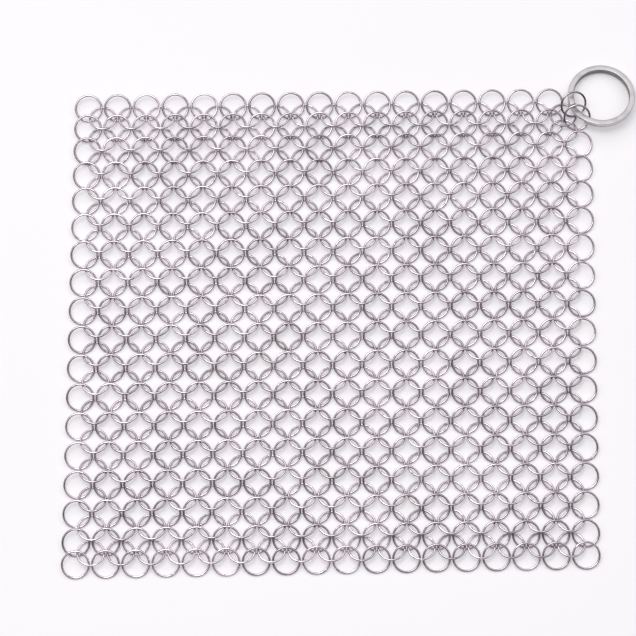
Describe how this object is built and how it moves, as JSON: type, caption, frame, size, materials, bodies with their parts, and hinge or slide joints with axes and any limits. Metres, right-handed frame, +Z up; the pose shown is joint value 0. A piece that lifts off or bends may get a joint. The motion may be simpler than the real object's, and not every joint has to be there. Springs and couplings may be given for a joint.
{
  "type": "chain mail pot scrubber",
  "caption": "Nearly square chain mail panel of interlinked steel wire rings with a flat split ring at one corner for hanging, rubbed over pots and pans to scour them.",
  "frame": {"origin": "middle of the bounding box, on the surface that the panel lies on", "axes": "+Z up from that surface, X along the rows, +Y towards the edge with the split ring"},
  "size_m": [0.2053, 0.1828, 0.0068],
  "materials": {
    "mail_wire": "bright drawn",
    "split_wire": "satin"
  },
  "bodies": {
    "ring_row_01": {"ring_row_01": "mail_wire"},
    "ring_row_02": {"ring_row_02": "mail_wire", "corner_02_ring": "mail_wire"},
    "ring_row_03": {"ring_row_03": "mail_wire", "corner_03_ring": "mail_wire"},
    "ring_row_04": {"ring_row_04": "mail_wire", "corner_04_ring": "mail_wire"},
    "ring_row_05": {"ring_row_05": "mail_wire"},
    "ring_row_06": {"ring_row_06": "mail_wire"},
    "ring_row_07": {"ring_row_07": "mail_wire"},
    "ring_row_08": {"ring_row_08": "mail_wire"},
    "ring_row_09": {"ring_row_09": "mail_wire"},
    "ring_row_10": {"ring_row_10": "mail_wire"},
    "ring_row_11": {"ring_row_11": "mail_wire"},
    "ring_row_12": {"ring_row_12": "mail_wire"},
    "ring_row_13": {"ring_row_13": "mail_wire"},
    "ring_row_14": {"ring_row_14": "mail_wire"},
    "ring_row_15": {"ring_row_15": "mail_wire"},
    "ring_row_16": {"ring_row_16": "mail_wire"},
    "ring_row_17": {"ring_row_17": "mail_wire"},
    "ring_row_18": {"ring_row_18": "mail_wire"},
    "ring_row_19": {"ring_row_19": "mail_wire"},
    "ring_row_20": {"ring_row_20": "mail_wire"},
    "ring_row_21": {"ring_row_21": "mail_wire"},
    "ring_row_22": {"ring_row_22": "mail_wire"},
    "ring_row_23": {"ring_row_23": "mail_wire"},
    "ring_row_24": {"ring_row_24": "mail_wire"},
    "ring_row_25": {"ring_row_25": "mail_wire"},
    "ring_row_26": {"ring_row_26": "mail_wire"},
    "ring_row_27": {"ring_row_27": "mail_wire"},
    "ring_row_28": {"ring_row_28": "mail_wire"},
    "ring_row_29": {"ring_row_29": "mail_wire"},
    "ring_row_30": {"ring_row_30": "mail_wire"},
    "ring_row_31": {"ring_row_31": "mail_wire"},
    "ring_row_32": {"ring_row_32": "mail_wire"},
    "ring_row_33": {"ring_row_33": "mail_wire"},
    "ring_row_34": {"ring_row_34": "mail_wire"},
    "ring_row_35": {"ring_row_35": "mail_wire"},
    "corner_01_ring": {"corner_01_ring": "mail_wire"},
    "split_ring": {"split_ring": "split_wire"}
  },
  "joints": [
    {"name": "corner_ring_swing", "type": "hinge", "parent": "ring_row_02", "child": "corner_01_ring", "pos_m": [0.081, 0.07445, 0.00406], "axis": [0.4562, -0.881, 0.1255], "range_deg": [0, 35]},
    {"name": "split_ring_spin", "type": "hinge", "parent": "corner_01_ring", "child": "split_ring", "pos_m": [0.09064, 0.07936, 0.00303], "axis": [-0.0138, 0.134, 0.9909], "continuous": true},
    {"name": "row_01_fold", "type": "hinge", "parent": "ring_row_02", "child": "ring_row_01", "pos_m": [-0.00766, 0.07606, 0.00108], "axis": [1, 0, 0], "range_deg": [0, 30]},
    {"name": "row_02_fold", "type": "hinge", "parent": "ring_row_03", "child": "ring_row_02", "pos_m": [-0.00766, 0.07227, 0.0021], "axis": [-1, 0, 0], "range_deg": [0, 30]},
    {"name": "row_03_fold", "type": "hinge", "parent": "ring_row_04", "child": "ring_row_03", "pos_m": [-0.00766, 0.06828, 0.00103], "axis": [1, 0, 0], "range_deg": [0, 45]},
    {"name": "row_04_fold", "type": "hinge", "parent": "ring_row_05", "child": "ring_row_04", "pos_m": [-0.00766, 0.06408, 0.00215], "axis": [-1, 0, 0], "range_deg": [0, 75]},
    {"name": "row_05_fold", "type": "hinge", "parent": "ring_row_06", "child": "ring_row_05", "pos_m": [-0.00766, 0.05971, 0.00098], "axis": [1, 0, 0], "range_deg": [0, 75]},
    {"name": "row_06_fold", "type": "hinge", "parent": "ring_row_07", "child": "ring_row_06", "pos_m": [-0.00766, 0.05515, 0.0022], "axis": [-1, 0, 0], "range_deg": [0, 75]},
    {"name": "row_07_fold", "type": "hinge", "parent": "ring_row_08", "child": "ring_row_07", "pos_m": [-0.00766, 0.05049, 0.00095], "axis": [1, 0, 0], "range_deg": [0, 75]},
    {"name": "row_08_fold", "type": "hinge", "parent": "ring_row_09", "child": "ring_row_08", "pos_m": [-0.00766, 0.04573, 0.00223], "axis": [-1, 0, 0], "range_deg": [0, 75]},
    {"name": "row_09_fold", "type": "hinge", "parent": "ring_row_10", "child": "ring_row_09", "pos_m": [-0.00766, 0.04091, 0.00094], "axis": [1, 0, 0], "range_deg": [0, 75]},
    {"name": "row_10_fold", "type": "hinge", "parent": "ring_row_11", "child": "ring_row_10", "pos_m": [-0.00766, 0.03604, 0.00224], "axis": [-1, 0, 0], "range_deg": [0, 75]},
    {"name": "row_11_fold", "type": "hinge", "parent": "ring_row_12", "child": "ring_row_11", "pos_m": [-0.00766, 0.03111, 0.00092], "axis": [1, 0, 0], "range_deg": [0, 75]},
    {"name": "row_12_fold", "type": "hinge", "parent": "ring_row_13", "child": "ring_row_12", "pos_m": [-0.00766, 0.02612, 0.00226], "axis": [-1, 0, 0], "range_deg": [0, 75]},
    {"name": "row_13_fold", "type": "hinge", "parent": "ring_row_14", "child": "ring_row_13", "pos_m": [-0.00766, 0.02107, 0.00091], "axis": [1, 0, 0], "range_deg": [0, 75]},
    {"name": "row_14_fold", "type": "hinge", "parent": "ring_row_15", "child": "ring_row_14", "pos_m": [-0.00766, 0.01597, 0.00227], "axis": [-1, 0, 0], "range_deg": [0, 75]},
    {"name": "row_15_fold", "type": "hinge", "parent": "ring_row_16", "child": "ring_row_15", "pos_m": [-0.00766, 0.01085, 0.0009], "axis": [1, 0, 0], "range_deg": [0, 75]},
    {"name": "row_16_fold", "type": "hinge", "parent": "ring_row_17", "child": "ring_row_16", "pos_m": [-0.00766, 0.0057, 0.00228], "axis": [-1, 0, 0], "range_deg": [0, 75]},
    {"name": "row_17_fold", "type": "hinge", "parent": "ring_row_18", "child": "ring_row_17", "pos_m": [-0.00766, 0.00053, 0.0009], "axis": [1, 0, 0], "range_deg": [0, 75]},
    {"name": "row_19_fold", "type": "hinge", "parent": "ring_row_18", "child": "ring_row_19", "pos_m": [-0.00766, -0.00464, 0.00229], "axis": [1, 0, 0], "range_deg": [0, 75]},
    {"name": "row_20_fold", "type": "hinge", "parent": "ring_row_19", "child": "ring_row_20", "pos_m": [-0.00766, -0.00982, 0.0009], "axis": [-1, 0, 0], "range_deg": [0, 75]},
    {"name": "row_21_fold", "type": "hinge", "parent": "ring_row_20", "child": "ring_row_21", "pos_m": [-0.00766, -0.01499, 0.00229], "axis": [1, 0, 0], "range_deg": [0, 75]},
    {"name": "row_22_fold", "type": "hinge", "parent": "ring_row_21", "child": "ring_row_22", "pos_m": [-0.00766, -0.02017, 0.0009], "axis": [-1, 0, 0], "range_deg": [0, 75]},
    {"name": "row_23_fold", "type": "hinge", "parent": "ring_row_22", "child": "ring_row_23", "pos_m": [-0.00766, -0.02534, 0.00229], "axis": [1, 0, 0], "range_deg": [0, 75]},
    {"name": "row_24_fold", "type": "hinge", "parent": "ring_row_23", "child": "ring_row_24", "pos_m": [-0.00766, -0.03052, 0.0009], "axis": [-1, 0, 0], "range_deg": [0, 75]},
    {"name": "row_25_fold", "type": "hinge", "parent": "ring_row_24", "child": "ring_row_25", "pos_m": [-0.00766, -0.0357, 0.00229], "axis": [1, 0, 0], "range_deg": [0, 75]},
    {"name": "row_26_fold", "type": "hinge", "parent": "ring_row_25", "child": "ring_row_26", "pos_m": [-0.00766, -0.04087, 0.0009], "axis": [-1, 0, 0], "range_deg": [0, 75]},
    {"name": "row_27_fold", "type": "hinge", "parent": "ring_row_26", "child": "ring_row_27", "pos_m": [-0.00766, -0.04605, 0.00229], "axis": [1, 0, 0], "range_deg": [0, 75]},
    {"name": "row_28_fold", "type": "hinge", "parent": "ring_row_27", "child": "ring_row_28", "pos_m": [-0.00766, -0.0512, 0.0009], "axis": [-1, 0, 0], "range_deg": [0, 75]},
    {"name": "row_29_fold", "type": "hinge", "parent": "ring_row_28", "child": "ring_row_29", "pos_m": [-0.00766, -0.05632, 0.00228], "axis": [1, 0, 0], "range_deg": [0, 75]},
    {"name": "row_30_fold", "type": "hinge", "parent": "ring_row_29", "child": "ring_row_30", "pos_m": [-0.00766, -0.06142, 0.00091], "axis": [-1, 0, 0], "range_deg": [0, 75]},
    {"name": "row_31_fold", "type": "hinge", "parent": "ring_row_30", "child": "ring_row_31", "pos_m": [-0.00766, -0.06649, 0.00227], "axis": [1, 0, 0], "range_deg": [0, 75]},
    {"name": "row_32_fold", "type": "hinge", "parent": "ring_row_31", "child": "ring_row_32", "pos_m": [-0.00766, -0.0715, 0.00093], "axis": [-1, 0, 0], "range_deg": [0, 75]},
    {"name": "row_33_fold", "type": "hinge", "parent": "ring_row_32", "child": "ring_row_33", "pos_m": [-0.00766, -0.07645, 0.00225], "axis": [1, 0, 0], "range_deg": [0, 75]},
    {"name": "row_34_fold", "type": "hinge", "parent": "ring_row_33", "child": "ring_row_34", "pos_m": [-0.00766, -0.08084, 0.00108], "axis": [-1, 0, 0], "range_deg": [0, 75]},
    {"name": "row_35_fold", "type": "hinge", "parent": "ring_row_34", "child": "ring_row_35", "pos_m": [-0.00766, -0.08467, 0.00211], "axis": [1, 0, 0], "range_deg": [0, 75]}
  ]
}
